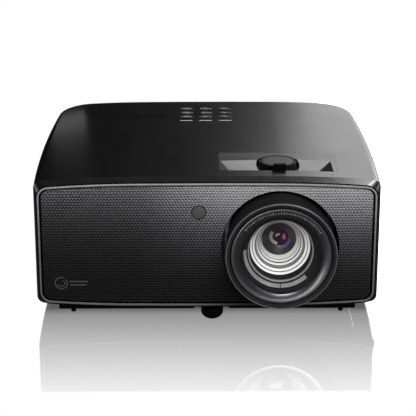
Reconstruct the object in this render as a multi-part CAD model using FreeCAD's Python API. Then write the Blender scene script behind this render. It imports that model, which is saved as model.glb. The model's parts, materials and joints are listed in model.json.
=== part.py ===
"""Home projector: a black casing with a textured front panel, a large focusing lens that shifts up
and down, a nine-key pad, a thumb dial in the roof, three screw feet, and the optics, boards and fans
inside. Millimetres, +Z up, the front faces -Y, and +X is to the right of somebody facing the lens.
The origin is under the middle of the whole projector, on the table."""
import os
from math import asin, atan2, cos, pi, radians, sin, sqrt

import FreeCAD
import Part
from FreeCAD import Vector

# --- driving dimensions -------------------------------------------------------------------------
body_depth = 270.0      # bezel face to rear wall
body_half = 158.3       # half the width where the casing is widest
widest_at = 95.0        # how far behind the face that is
side_radius = 1914.0    # the side walls bow outwards on this radius
rear_corner = 34.0      # plan radius of the two rear corners
roof_z = 140.0          # crown of the roof, on the centreline
floor_z = 13.8          # underside of the casing, on the centreline
edge_round = 7.0        # roof and floor edges
wall = 2.4              # casing wall
seam_z = 48.0           # where the top cover meets the bottom case
bezel_depth = 8.7       # the bezel frame's front-to-back size
joint_gap = 0.2         # parting lines between the casing pieces

flat_half = 70.0        # the roof is nearly flat this far out, then falls
crown_radius = 8000.0   # nearly flat middle
shoulder_radius = 1100.0

face_half = 153.7       # bezel outline at the face
face_top = 137.2
face_bottom = 16.8
face_corner = 11.6
trim_inset = 1.3        # metal-coloured line, from the bezel's outline
trim_wide = 1.4
panel_inset = 4.7       # front panel, from the bezel's outline

lens_x = 66.0           # optical axis, right of centre
lens_z = 74.9
hood_reach = 25.4       # focus ring in front of the bezel face
ring_radius = 49.8      # focus ring's rim
opening_radius = 53.5   # round opening in the front panel
shift_travel = 3.2      # lens shift, each way
window_x = -7.6         # infrared receiver's window in the front panel
window_z = 108.3
window_radius = 6.3

plateau_z = 9.5         # raised underside that the feet screw into
plateau_half = 137.0
plateau_front = 12.0
plateau_back = 256.0
deck_z = floor_z + wall            # inside of the floor, where the inner parts stand
plateau_deck_z = plateau_z + wall  # inside of the raised underside

feet = {"front_foot": (4.6, 14.8),          # x, and distance behind the face
        "rear_left_foot": (-112.0, 228.0),
        "rear_right_foot": (112.0, 228.0)}
foot_pad = 10.2         # foot pad radius
foot_screw = 3.0        # foot screw radius
front_foot_top = 12.8   # the front foot is taller: it stands in a notch of the underside
rear_foot_top = 8.4
slack = 0.05            # radial running clearance
peg_x = 124.0           # small rubber pegs under the front corners
peg_d = 16.5
peg_radius = 2.3

recess_x = (10.8, 119.3)    # recess in the roof above the lens
recess_d = (25.3, 80.2)

dial_x = 65.5           # lens shift dial
dial_d = 50.5
dial_radius = 17.0
dial_top = 141.0
well_radius = 20.0      # round space the dial turns in
barrel_radius = 41.0    # lens barrel, outside
barrel_bore = 38.0      # lens barrel, inside
barrel_front = -14.4    # its front end
carriage_top = 119.0    # lens carriage, an upright plate
carriage_bottom = 30.0
guide_x = (lens_x - 55.0, lens_x + 47.0)    # the two posts it slides on
guide_d = 63.0
guide_radius = 4.0
lever_d = (26.8, 31.4)  # zoom lever, front to back
lever_top = 145.0

key_columns = (-19.6, 0.0, 19.6)
key_rows = (204.3, 218.8, 234.6)
key_half = (6.0, 4.0)   # oval keys
key_gap = 0.35
window_row = 191.3      # indicator windows
window_size = (12.6, 1.2)

panel_half = 108.0      # rear panel
panel_low = 31.0
panel_high = 102.0
mount_x = 90.0          # ceiling mount, half spacing from side to side
mount_rows = (62.0, 202.0)
mount_radius = 4.6      # its brass bushes
screw_places = ((-128.0, 34.0), (128.0, 34.0), (-128.0, 212.0), (128.0, 212.0))

sound_places = (14.0, 26.0)     # sockets in the rear panel, from the middle
sound_z = 45.0
sound_bore = 1.9
hdmi_places = (-84.0, -62.0)
usb_place = -42.0
network_place = -20.0
serial_place = 54.0
inlet_place = 88.0

board_thick = 1.6
main_board_z = 26.4
power_board_z = 24.4
wheel_x = 40.0          # phosphor wheel
wheel_z = 100.0
wheel_d = 170.0
bearing_radius = 2.0    # pins of the wheel and the fans
fan_middle = (130.0, 83.0)      # distance behind the face, height
fan_inner_x = 124.0
fan_half = 40.0

face_y = (hood_reach - body_depth) / 2.0
OUT = "parts"


def back(distance):
    """Y of a point this far behind the bezel face."""
    return face_y + distance


# --- small tools --------------------------------------------------------------------------------
def box(x0, x1, d0, d1, z0, z1):
    """A block between two x, two distances behind the face, and two heights."""
    return Part.makeBox(x1 - x0, d1 - d0, z1 - z0, Vector(x0, back(d0), z0))


def post(x, d, radius, z0, z1):
    """An upright cylinder."""
    return Part.makeCylinder(radius, z1 - z0, Vector(x, back(d), z0), Vector(0, 0, 1))


def tube_up(x, d, outer, inner, z0, z1):
    """An upright tube."""
    return post(x, d, outer, z0, z1).cut(post(x, d, inner, z0 - 1, z1 + 1))


def rod(x, z, radius, d0, d1):
    """A cylinder that runs front to back."""
    return Part.makeCylinder(radius, d1 - d0, Vector(x, back(d0), z), Vector(0, 1, 0))


def cross_rod(d, z, radius, x0, x1):
    """A cylinder that runs from side to side."""
    return Part.makeCylinder(radius, x1 - x0, Vector(x0, back(d), z), Vector(1, 0, 0))


def fuse(pieces):
    """One solid from pieces that touch or cross."""
    whole = pieces[0].multiFuse(pieces[1:]) if len(pieces) > 1 else pieces[0]
    return whole.removeSplitter()


def cut(shape, tools):
    """The shape without the tools."""
    return shape.cut(Part.makeCompound(tools))


def turned(profile, x=lens_x, z=lens_z):
    """A ring about the lens axis. The profile is (radius, distance behind the face) points."""
    points = [Vector(x + r, back(d), z) for r, d in profile]
    face = Part.Face(Part.makePolygon(points + [points[0]]))
    return face.revolve(Vector(x, 0, z), Vector(0, 1, 0), 360)


def spun(profile, x, d):
    """A solid about an upright axis. The profile is (radius, height) points."""
    points = [Vector(x + r, back(d), z) for r, z in profile]
    face = Part.Face(Part.makePolygon(points + [points[0]]))
    return face.revolve(Vector(x, back(d), 0), Vector(0, 0, 1), 360)


def slab(points, z0, z1):
    """An upright prism on a plan polygon of (x, distance behind the face) points."""
    ring = [Vector(x, back(d), z0) for x, d in points]
    return Part.Face(Part.makePolygon(ring + [ring[0]])).extrude(Vector(0, 0, z1 - z0))


def arc_between(centre, radius, start, end, place):
    """An arc edge from one angle to another; place turns (u, v) into a point."""
    at = [start, (start + end) / 2.0, end]
    p = [place(centre[0] + radius * cos(a), centre[1] + radius * sin(a)) for a in at]
    return Part.Arc(*p).toShape()


def save(name, shape):
    """Writes one node as a STEP file of its solids."""
    solids = shape.Solids
    bad = [s for s in solids if not s.isValid() or s.Volume <= 0]
    if bad or not solids:
        print("BAD", name, len(solids), "solids,", len(bad), "bad")
    kept = solids[0] if len(solids) == 1 else Part.makeCompound(solids)
    kept.exportStep(os.path.join(OUT, name + ".step"))


# --- outlines -----------------------------------------------------------------------------------
def crowned_outline(half, top, bottom, corner, distance, inset=0.0):
    """The front view of the casing: crowned top and bottom, straight sides, round corners. The inset
    moves the whole line inwards by the same amount."""
    middle_r = crown_radius - inset
    side_r = shoulder_radius - inset
    corner_r = corner - inset
    tilt = flat_half / crown_radius
    lean = sqrt(1 - tilt * tilt)
    corner_x = half - corner

    def quarter(sign, level):
        """Centre heights for the top (sign 1) or the bottom (sign -1)."""
        middle_z = level - sign * crown_radius
        side_x = flat_half - shoulder_radius * tilt
        side_z = middle_z + sign * (crown_radius - shoulder_radius) * lean
        reach = shoulder_radius - corner
        corner_z = side_z + sign * sqrt(reach ** 2 - (corner_x - side_x) ** 2)
        turn = (corner_x - side_x) / reach
        return middle_z, side_x, side_z, corner_z, turn

    edges = []
    ends = {}
    for sign, level in ((1, top), (-1, bottom)):
        middle_z, side_x, side_z, corner_z, turn = quarter(sign, level)
        a0, a1 = asin(tilt), asin(turn)
        for side in (1, -1):
            def place(u, v, side=side):
                return Vector(side * u, back(distance), v)
            edges.append(arc_between((side_x, side_z), side_r, sign * (pi / 2 - a0),
                                     sign * (pi / 2 - a1), place))
            edges.append(arc_between((corner_x, corner_z), corner_r, sign * (pi / 2 - a1), 0.0, place))
        edges.append(arc_between((0.0, middle_z), middle_r, sign * (pi / 2 - a0),
                                 sign * (pi / 2 + a0), lambda u, v: Vector(u, back(distance), v)))
        ends[sign] = corner_z
    for side in (1, -1):
        x = side * (half - inset)
        edges.append(Part.LineSegment(Vector(x, back(distance), ends[1]),
                                      Vector(x, back(distance), ends[-1])).toShape())
    return Part.Wire(Part.__sortEdges__(edges))


def face_outline(distance, inset=0.0):
    """The bezel's outline, at the face or moved inwards."""
    return crowned_outline(face_half, face_top, face_bottom, face_corner, distance, inset)


def half_width(distance):
    """Half the casing's width at a distance behind the face."""
    return body_half - side_radius + sqrt(side_radius ** 2 - (distance - widest_at) ** 2)


def prism(outline, length):
    """An outline carried straight back."""
    return Part.Face(outline).extrude(Vector(0, length, 0))


def casing_block(inset, front):
    """The casing as one solid, moved inwards by the inset: bowed sides, crowned roof and floor."""
    r = side_radius - inset
    cx = body_half - side_radius
    rear = body_depth - inset
    corner = rear_corner - inset
    corner_d = rear - corner
    corner_x = cx + sqrt((r - corner) ** 2 - (corner_d - widest_at) ** 2)
    side_point = (cx + (corner_x - cx) * r / (r - corner),
                  widest_at + (corner_d - widest_at) * r / (r - corner))
    a_front = atan2(front - widest_at, sqrt(r * r - (front - widest_at) ** 2))
    a_rear = atan2(side_point[1] - widest_at, side_point[0] - cx)
    edges = []
    for side in (1, -1):
        def place(u, v, side=side):
            return Vector(side * u, back(v), 0)
        edges.append(arc_between((cx, widest_at), r, a_front, a_rear, place))
        edges.append(arc_between((corner_x, corner_d), corner, a_rear, pi / 2, place))
    x_front = cx + r * cos(a_front)
    edges.append(Part.LineSegment(Vector(-x_front, back(front), 0),
                                  Vector(x_front, back(front), 0)).toShape())
    edges.append(Part.LineSegment(Vector(-corner_x, back(rear), 0),
                                  Vector(corner_x, back(rear), 0)).toShape())
    plan = Part.Face(Part.Wire(Part.__sortEdges__(edges))).extrude(Vector(0, 0, roof_z + 10))
    crown = prism(crowned_outline(body_half + 40, roof_z, floor_z, 20.0, front - 5, inset),
                  body_depth + 20)
    block = plan.common(crown)
    rims = []
    for edge in block.Edges:
        mid = edge.valueAt((edge.FirstParameter + edge.LastParameter) / 2.0)
        low, high = edge.BoundBox.YMin, edge.BoundBox.YMax
        upright = edge.BoundBox.ZLength > 40
        on_front = high < back(front) + 0.01
        on_wall = abs(mid.x) > body_half - 60 or mid.y > back(rear) - 1.0
        seam = abs(abs(mid.x) - flat_half) < 3 and mid.y < back(rear) - 1.0
        if on_wall and not (upright or on_front or seam) and high > low - 1:
            rims.append(edge)
    return block.makeFillet(edge_round - inset, rims)


# --- casing pieces ------------------------------------------------------------------------------
def oval(x, d, half_x, half_d, z0, z1):
    """An upright oval column."""
    wire = Part.Wire(Part.Ellipse(Vector(x, back(d), z0), half_x, half_d).toShape())
    return Part.Face(wire).extrude(Vector(0, 0, z1 - z0))


def roof_slab(x0, x1, d0, d1, z0):
    """A block whose top follows the crowned roof."""
    roof = prism(crowned_outline(body_half + 40, roof_z, floor_z, 20.0, 5.0), body_depth)
    return box(x0, x1, d0, d1, z0, roof_z + 5).common(roof)


def side_window(side, grow):
    """The opening in a side wall that its air grille fills."""
    low, high = sorted((side * (body_half - 22.0), side * (body_half + 5.0)))
    return box(low, high, 74.0 - grow, 186.0 + grow, 58.0 - grow, 108.0 + grow)


def dial_well(radius, z0, z1):
    """The round space the dial turns in."""
    return post(dial_x, dial_d, radius, z0, z1)


def casing_shell():
    """The whole casing, before it is parted into cover and case."""
    start = bezel_depth + joint_gap
    shell = casing_block(0.0, start).cut(casing_block(wall, start - 20.0))
    rear = box(-panel_half, panel_half, body_depth - 12, body_depth + 5, panel_low, panel_high)
    return cut(shell, [side_window(1, 0.0), side_window(-1, 0.0), rear])


def top_cover(shell):
    """Roof and upper walls, with the recess, key holes, windows and screw posts."""
    cover = shell.common(box(-200, 200, -5, body_depth + 5, seam_z + joint_gap, 200))
    posts = [post(x, d, 4.2, 24.0, 136.6) for x, d in screw_places]
    cover = fuse([cover] + posts)
    tools = [post(x, d, 1.25, 20.0, 44.0) for x, d in screw_places]
    tools.append(box(*recess_x, *recess_d, 130.0, 145.0))
    for x in key_columns:
        tools += [oval(x, d, key_half[0] + key_gap, key_half[1] + key_gap, 130, 145)
                  for d in key_rows]
        tools.append(box(x - window_size[0] / 2, x + window_size[0] / 2,
                         window_row - window_size[1] / 2, window_row + window_size[1] / 2, 130, 145))
    return cut(cover, tools)


def bottom_case(shell):
    """Floor and lower walls, with the raised underside, the foot, screw and mount bosses."""
    case = shell.common(box(-200, 200, -5, body_depth + 5, 0, seam_z))
    edge = [(-plateau_half, plateau_front), (plateau_half, plateau_front),
            (plateau_half, plateau_back - 16), (plateau_half - 16, plateau_back),
            (16 - plateau_half, plateau_back), (-plateau_half, plateau_back - 16)]
    raised = slab(edge, plateau_z, floor_z + 2.3)
    raised = raised.makeFillet(2.0, [e for e in raised.Edges if e.BoundBox.ZMax < plateau_z + 0.01])
    inner = [(x * (1 - 3.0 / abs(x)), d + (3.0 if d < 100 else -3.0)) for x, d in edge]
    hollow = slab(inner, plateau_deck_z, floor_z + 6)
    notch = box(-12.0, 20.0, 0.0, 28.0, 0.0, floor_z + 0.2)
    case = case.fuse(raised).cut(hollow)
    roofed = box(-14.0, 22.0, bezel_depth + joint_gap, 30.0, floor_z + 0.2, floor_z + 2.6)
    bosses = []
    for name, (x, d) in feet.items():
        low = floor_z + 0.2 if name == "front_foot" else plateau_z
        bosses.append(post(x, d, 5.4, low, 34.0))
    bosses += [post(x, d, 5.6, plateau_z, 23.8) for x, d in screw_places]
    bosses += [post(x, d, mount_radius + 2.0, plateau_z, 24.2) for x in (-mount_x, mount_x)
               for d in mount_rows]
    case = case.cut(notch).fuse([roofed] + bosses)
    tools = [post(x, d, 4.2, 0, 40.0) for x, d in feet.values()]
    tools += [post(x, d, 1.7, 0, 30.0) for x, d in screw_places]
    tools += [post(x, d, 3.3, 0, plateau_z + 6.0) for x, d in screw_places]
    tools += [post(x, d, mount_radius, 0, 30.0) for x in (-mount_x, mount_x) for d in mount_rows]
    tools += [post(x, peg_d, peg_radius, 0, plateau_z + 1.6) for x in (-peg_x, peg_x)]
    return cut(case, tools).removeSplitter()


def front_bezel():
    """The frame round the front panel: a bevelled band outside, a ledge for the panel inside."""
    near = face_outline(0.0)
    far = crowned_outline(half_width(bezel_depth), roof_z, floor_z, edge_round, bezel_depth)
    band = Part.makeLoft([near, far], True, True)
    groove = prism(face_outline(-1.0, trim_inset + trim_wide), 4.8)
    through = prism(face_outline(3.0, panel_inset + 2.7), 10.0)
    rebate = prism(face_outline(-1.0, trim_inset), 2.0)
    return cut(band, [groove, through, rebate]).cut(rod(lens_x, lens_z, opening_radius + 1, -5, 20))


def trim_ring():
    """The metal-coloured line let into the bezel's front edge."""
    inner = prism(face_outline(-1.0, trim_inset + trim_wide), 4.0)
    return prism(face_outline(-0.25, trim_inset), 1.25).cut(inner)


def front_panel():
    """The textured panel, with the lens opening and the receiver's hole."""
    panel = prism(face_outline(0.6, panel_inset), 3.2)
    holes = [rod(lens_x, lens_z, opening_radius, -5, 20), rod(window_x, window_z, window_radius, -5, 20)]
    return cut(panel, holes)


def receiver_window():
    """The round infrared window, with a shoulder behind the panel."""
    return fuse([rod(window_x, window_z, window_radius, 0.4, 3.8),
                 rod(window_x, window_z, window_radius + 1.7, 3.8, 5.4)])


def roof_insert():
    """The insert in the roof above the lens: a flat shelf, a sloped trough and the dial's well."""
    whole = roof_slab(recess_x[0] + joint_gap, recess_x[1] - joint_gap, recess_d[0] + joint_gap,
                      recess_d[1] - joint_gap, 130.6)
    under = box(13.0, 117.0, 60.0, 78.0, 120.0, 137.0)
    mouth = [(20.0, 25.0), (118.6, 25.0), (119.0, 64.0), (12.4, 54.5)]
    base = [(25.0, 25.0), (104.0, 25.0), (101.5, 38.5), (26.0, 38.5)]
    wires = []
    for points, z in ((base, 133.4), (mouth, roof_z), (mouth, roof_z + 3)):
        ring = [Vector(x, back(d), z) for x, d in points]
        wires.append(Part.makePolygon(ring + [ring[0]]))
    trough = Part.makeLoft(wires, True, True)
    shell = cut(whole, [under, trough])
    collar = dial_well(well_radius + 1.6, 130.6, 137.5).common(box(0, 200, 55.0, 90.0, 100, 200))
    shell = fuse([shell, collar, post(dial_x, dial_d, 6.0, 128.8, 131.0)])
    slot = box(48.0, 84.0, 25.0, 33.6, 125.0, 136.0)
    return cut(shell, [dial_well(well_radius, 133.0, 150.0), slot, post(dial_x, dial_d, 3.05, 100, 150)])


def side_grille(side):
    """Louvres that fill the opening in one side wall, following its bow."""
    outer = casing_block(0.3, bezel_depth)
    inner = casing_block(wall + 0.6, bezel_depth - 10.0)
    slab_all = outer.cut(inner).common(side_window(side, -0.15))
    x0, x1 = sorted((side * (body_half - 30.0), side * (body_half + 5.0)))
    slots = []
    for row in range(9):
        z = 61.2 + row * 5.1
        slots += [box(x0, x1, d, d + 24.4, z, z + 2.7) for d in (76.6, 103.9, 131.2, 158.5)]
    return cut(slab_all, slots)


def rear_panel():
    """The socket panel in the rear wall, with its socket openings and a lock slot."""
    plate = box(0.2 - panel_half, panel_half - 0.2, body_depth - 3.4, body_depth - 0.6,
                panel_low + 0.2, panel_high - 0.2)
    holes = []
    for x, wide, z0, z1 in socket_faces():
        holes.append(box(x - wide / 2 - 0.2, x + wide / 2 + 0.2, 260, 275, z0 - 0.2, z1 + 0.2))
    holes += [rod(x, sound_z, 4.2, 260, 275) for x in sound_places]
    holes.append(box(92.0, 99.0, 260, 275, 88.0, 91.2))
    for row in range(6):
        holes += [box(x, x + 20.0, 260, 275, 58.0 + row * 6, 61.0 + row * 6)
                  for x in (-96.0, -72.0, -48.0, -24.0)]
    return cut(plate, holes)


# --- sockets ------------------------------------------------------------------------------------

def socket_faces():
    """Front views of the square sockets: x, width, low z, high z."""
    faces = [(x, 15.2, 41.0, 46.8) for x in hdmi_places]
    faces.append((usb_place, 14.6, 40.6, 47.4))
    faces.append((network_place, 16.4, 38.6, 52.0))
    faces.append((serial_place, 31.0, 38.6, 51.0))
    faces.append((inlet_place, 27.6, 36.0, 56.0))
    return faces


def shell_socket(x, wide, z0, z1, deep, tongue):
    """A rectangular socket: a thin-walled shell open to the rear, with a tongue inside."""
    front = body_depth - deep
    board_top = main_board_z + board_thick
    body = box(x - wide / 2, x + wide / 2, front, body_depth - 0.3, z0, z1)
    inside = box(x - wide / 2 + 0.7, x + wide / 2 - 0.7, front + 2.0, body_depth + 5, z0 + 0.7, z1 - 0.7)
    stand = box(x - wide / 2 + 1, x + wide / 2 - 1, front, body_depth - 5.0, board_top, z0)
    key = box(x - tongue / 2, x + tongue / 2, front + 1, body_depth - 2.0, (z0 + z1) / 2 - 0.6,
              (z0 + z1) / 2 + 0.6)
    return fuse([body.cut(inside), stand, key])


def data_sockets():
    """Two video sockets and a USB socket."""
    faces = socket_faces()
    made = [shell_socket(x, wide, z0, z1, 13.0, 10.0) for x, wide, z0, z1 in faces[:2]]
    x, wide, z0, z1 = faces[2]
    made.append(shell_socket(x, wide, z0, z1, 15.0, 11.0))
    return Part.makeCompound(made)


def network_socket():
    """The network socket: a block with a deep pocket."""
    x, wide, z0, z1 = socket_faces()[3]
    jack = fuse([box(x - wide / 2, x + wide / 2, body_depth - 20, body_depth - 0.3, z0, z1),
                 box(x - wide / 2, x + wide / 2, body_depth - 20, body_depth - 5,
                     main_board_z + board_thick, z0)])
    return jack.cut(box(x - 6, x + 6, body_depth - 16, body_depth + 5, 41.0, 50.0))


def serial_socket():
    """The nine-pin control socket: flange, D-shaped shell, pins."""
    x, wide, z0, z1 = socket_faces()[4]
    mid = (z0 + z1) / 2
    flange = box(x - wide / 2, x + wide / 2, body_depth - 14, body_depth - 1.2, z0, z1)
    stand = box(x - 12, x + 12, body_depth - 14, body_depth - 6, main_board_z + board_thick, z0)
    pocket = box(x - 8.2, x + 8.2, body_depth - 8, body_depth + 4, mid - 3.8, mid + 3.8)
    pins = []
    for row, count in ((1.4, 5), (-1.4, 4)):
        for i in range(count):
            pins.append(rod(x + (i - (count - 1) / 2.0) * 2.7, mid + row, 0.5, body_depth - 9,
                            body_depth - 2.6))
    return fuse([flange.cut(pocket), stand] + pins)


def sound_sockets():
    """Two round sound sockets."""
    made = []
    for x in sound_places:
        body = box(x - 5, x + 5, body_depth - 18, body_depth - 3.6, main_board_z + board_thick, 50.0)
        nose = rod(x, sound_z, 4.0, body_depth - 4, body_depth - 0.2)
        bore = rod(x, sound_z, sound_bore, body_depth - 15, body_depth + 3)
        made.append(fuse([body, nose]).cut(bore))
    return Part.makeCompound(made)


def power_inlet():
    """The mains inlet: a housing with a deep pocket and three blades."""
    x, wide, z0, z1 = socket_faces()[5]
    body = box(x - wide / 2, x + wide / 2, body_depth - 24, body_depth - 0.4, z0, z1)
    pocket = box(x - 12.0, x + 12.0, body_depth - 20, body_depth + 4, z0 + 2, z1 - 2)
    blades = [box(x + dx - 1.0, x + dx + 1.0, body_depth - 21, body_depth - 5, z - 2.5, z + 2.5)
              for dx, z in ((-7.0, 44.0), (0.0, 48.4), (7.0, 44.0))]
    return fuse([body.cut(pocket)] + blades)


# --- keys, windows, boards ----------------------------------------------------------------------
def key(x, d):
    """One oval key: cap, flange under the roof, stem."""
    cap = oval(x, d, key_half[0], key_half[1], 135.4, roof_z + 0.5)
    cap = cap.makeFillet(0.35, [e for e in cap.Edges if e.BoundBox.ZMin > roof_z + 0.4])
    flange = oval(x, d, key_half[0] + 1.3, key_half[1] + 1.3, 135.2, 136.6)
    return fuse([cap, flange, post(x, d, 1.6, 133.0, 135.4)])


def indicator_windows():
    """The three clear bars behind which the lamps glow."""
    half_x, half_d = window_size[0] / 2, window_size[1] / 2
    bars = [box(x - half_x, x + half_x, window_row - half_d, window_row + half_d, 132.0, roof_z)
            for x in key_columns]
    strip = box(-28.0, 28.0, window_row - 1.6, window_row + 1.6, 131.8, 133.2)
    return fuse([strip] + bars)


def key_board():
    """The board under the keys, with a dome switch under each and a plug."""
    board = box(-34.0, 34.0, 186.0, 246.0, 130.2, 131.8)
    domes = [post(x, d, 2.6, 131.8, 132.1) for x in key_columns for d in key_rows]
    plug = box(-10.0, 10.0, 240.0, 245.0, 125.0, 130.2)
    return fuse([board, plug] + domes)


def main_board():
    """The signal board on the floor at the back, with chips, a heat spreader and plugs."""
    top = main_board_z + board_thick
    board = box(-104.0, 20.0, 160.0, 264.0, main_board_z, top)
    wing = box(19.0, 70.0, 212.0, 264.0, main_board_z, top)
    chips = ((-60.0, -25.0, 190.0, 225.0, 3.0), (-10.0, 8.0, 195.0, 213.0, 2.0),
             (28.0, 42.0, 220.0, 234.0, 2.5))
    plugs = ((-95.0, -75.0, 175.0, 182.0, 8.0), (-70.0, -50.0, 166.0, 172.0, 8.0),
             (-20.0, 10.0, 166.0, 171.0, 6.0))
    parts = [box(x0, x1, d0, d1, top, top + high) for x0, x1, d0, d1, high in chips + plugs]
    parts += [box(-58.0 + i * 5.0, -56.4 + i * 5.0, 192.0, 223.0, top + 3.0, top + 13.0)
              for i in range(7)]
    parts += [post(x, d, 3.0, deck_z, main_board_z) for x in (-100.0, 0.0) for d in (164.0, 240.0)]
    parts += [post(64.0, d, 3.0, deck_z, main_board_z) for d in (218.0, 240.0)]
    return fuse([board, wing] + parts)


def power_board():
    """The power supply board at the left, with its coil, capacitors and heat sinks."""
    top = power_board_z + board_thick
    board = box(-116.0, -14.0, 36.0, 146.0, power_board_z, top)
    blocks = ((-108.0, -72.0, 46.0, 78.0, 28.0), (-104.0, -96.0, 90.0, 136.0, 34.0),
              (-64.0, -58.0, 90.0, 136.0, 34.0), (-46.0, -22.0, 96.0, 122.0, 18.0),
              (-88.0, -72.0, 96.0, 112.0, 14.0))
    parts = [box(x0, x1, d0, d1, top, top + high) for x0, x1, d0, d1, high in blocks]
    parts += [post(-50.0, 60.0, 13.0, top, top + 36.0), post(-26.0, 64.0, 9.0, top, top + 30.0)]
    parts += [post(x, d, 3.0, plateau_deck_z + 4.0, power_board_z) for x in (-112.0, -18.0)
              for d in (42.0, 140.0)]
    return fuse([board] + parts)


def speaker():
    """A boxed loudspeaker at the right, behind the front."""
    body = fuse([box(126.0, 147.0, 40.0, 72.0, 32.0, 96.0), box(126.0, 132.0, 42.0, 70.0, deck_z, 32.5)])
    ring = cross_rod(56.0, 78.0, 14.0, 122.0, 126.0).cut(cross_rod(56.0, 78.0, 11.5, 121.0, 127.0))
    return fuse([body, ring, cross_rod(56.0, 78.0, 5.0, 123.5, 126.5)])


# --- lens ---------------------------------------------------------------------------------------
def focus_ring():
    """The focusing ring: a thick rim with a ribbed grip, turning on the barrel."""
    profile = [(ring_radius - 0.8, -hood_reach), (ring_radius, -hood_reach + 0.8),
               (ring_radius, -13.0), (48.6, -12.0), (48.6, 10.0), (47.0, 12.0),
               (barrel_radius + slack, 12.0), (barrel_radius + slack, -13.8), (45.9, -14.0),
               (45.9, -hood_reach + 1.6), (47.2, -hood_reach)]
    ring = turned(profile)
    ribs = []
    for i in range(60):
        a = radians(i * 6.0)
        ribs.append(rod(lens_x + 48.9 * cos(a), lens_z + 48.9 * sin(a), 0.75, -11.4, 9.4))
    return cut(ring, ribs)


def lens_barrel():
    """The tube that carries the glass, with a stepped front rim and a rear flange."""
    tube = [(barrel_radius, barrel_front), (barrel_radius, 76.0), (32.0, 76.0), (32.0, 73.0),
            (barrel_bore, 73.0), (barrel_bore, barrel_front)]
    stop = [(barrel_radius - 1, 14.0), (44.0, 14.0), (44.0, 20.0), (barrel_radius - 1, 20.0)]
    rear_stop = [(barrel_radius - 1, 36.6), (43.0, 36.6), (43.0, 40.0), (barrel_radius - 1, 40.0)]
    return fuse([turned(tube), turned(stop), turned(rear_stop)])


def front_ring():
    """The ring screwed to the front of the barrel: a flat face, then two steps inwards."""
    return turned([(45.5, -23.4), (44.7, -24.2), (36.6, -23.0), (36.0, -18.6), (33.4, -17.0),
                   (32.2, -17.0), (31.4, barrel_front), (45.5, barrel_front)])


def front_glass():
    """The front lens: domed in front, flat behind."""
    ball = Part.makeSphere(105.0, Vector(lens_x, back(-13.2) + 105.0, lens_z))
    return rod(lens_x, lens_z, barrel_bore - 0.1, -13.2, -2.6).common(ball)


def baffle_rings():
    """The front lens's retainer, and bright stepped rings behind it, narrowing to the stop."""
    outer = barrel_bore - 0.1
    retainer = turned([(outer, barrel_front), (outer, -8.9), (31.2, -8.9), (29.8, -13.6),
                       (30.6, barrel_front)])
    steps = ((27.4, -2.4, 0.0), (28.2, 0.0, 2.8), (25.0, 2.8, 5.6), (24.2, 5.6, 8.0), (20.6, 8.0, 10.4),
             (21.4, 10.4, 13.0), (19.2, 13.0, 16.0), (18.0, 16.0, 19.5), (16.2, 19.5, 22.3))
    stack = fuse([turned([(outer, d0), (outer, d1), (inner, d1), (inner, d0)])
                  for inner, d0, d1 in steps])
    return Part.makeCompound([retainer, stack])


def stop_glass():
    """The dark inner lens behind the last ring."""
    return rod(lens_x, lens_z, 24.0, 22.3, 30.0)


def rear_glass():
    """The last lens, seated in the rear of the barrel."""
    ball = Part.makeSphere(90.0, Vector(lens_x, back(77.0) - 90.0, lens_z))
    return rod(lens_x, lens_z, 31.6, 72.0, 77.0).common(ball).fuse(rod(lens_x, lens_z, 37.9, 69.0, 73.0))


def zoom_ring():
    """The zoom ring on the barrel, with a lever up into the roof recess."""
    band = turned([(barrel_radius + slack, 21.0), (46.2, 21.0), (46.2, 36.0),
                   (barrel_radius + slack, 36.0)])
    stem = box(lens_x - 4.0, lens_x + 4.0, *lever_d, lens_z + 44.5, 139.0)
    pad = box(lens_x - 6.2, lens_x + 6.2, *lever_d, 136.6, lever_top)
    pad = pad.makeFillet(1.2, pad.Edges)
    return fuse([band, stem, pad])


def zoom_cell():
    """The moving lens group inside the barrel."""
    ring = turned([(barrel_bore - slack, 42.0), (barrel_bore - slack, 54.0), (30.0, 54.0), (30.0, 42.0)])
    return fuse([ring, rod(lens_x, lens_z, 30.2, 45.0, 51.0)])


def lens_carriage():
    """The plate that holds the barrel and slides on two posts, with the dial's nut in its arm."""
    half = 3.0
    plate = box(guide_x[0] - 7.0, guide_x[1] + 3.0, guide_d - half, guide_d + half, carriage_bottom,
                carriage_top)
    arm = box(lens_x - 9.0, lens_x + 8.0, 43.0, guide_d + half, carriage_top - 2.0, carriage_top + 6.0)
    ears = [post(x, guide_d, guide_radius + 3.0, 40.0, 110.0) for x in guide_x]
    carriage = fuse([plate, arm] + ears)
    tools = [rod(lens_x, lens_z, barrel_radius, 40.0, 70.0),
             post(dial_x, dial_d, 3.3, 100, 140),
             rod(lens_x, lens_z, barrel_radius + 0.6, 40.0, 58.0)]
    tools += [post(x, guide_d, guide_radius + slack, 0, 200) for x in guide_x]
    return cut(carriage, tools)


def carriage_guides():
    """The two upright posts with their foot and head plates."""
    head_z = carriage_top + shift_travel + 0.4
    made = []
    for x in guide_x:
        shaft = post(x, guide_d, guide_radius, deck_z + 3.8, head_z + 3.0)
        base = box(x - 9, x + 9, guide_d - 9, guide_d + 9, deck_z, deck_z + 4.8)
        head = box(x - 8, x + 8, guide_d - 8, guide_d + 8, head_z, head_z + 3.0)
        made.append(fuse([shaft, base, head]))
    return Part.makeCompound(made)


def shift_dial():
    """The knurled thumb dial and its screw."""
    disc = post(dial_x, dial_d, dial_radius, 134.0, dial_top)
    disc = disc.makeChamfer(0.5, [e for e in disc.Edges if e.BoundBox.ZLength < 0.1])
    notches = []
    for i in range(32):
        a = radians(i * 11.25)
        notches.append(post(dial_x + (dial_radius + 0.2) * cos(a), dial_d + (dial_radius + 0.2) * sin(a),
                            1.1, 130.0, 150.0))
    return fuse([cut(disc, notches), post(dial_x, dial_d, 3.0, 119.7, 134.2)])


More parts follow.
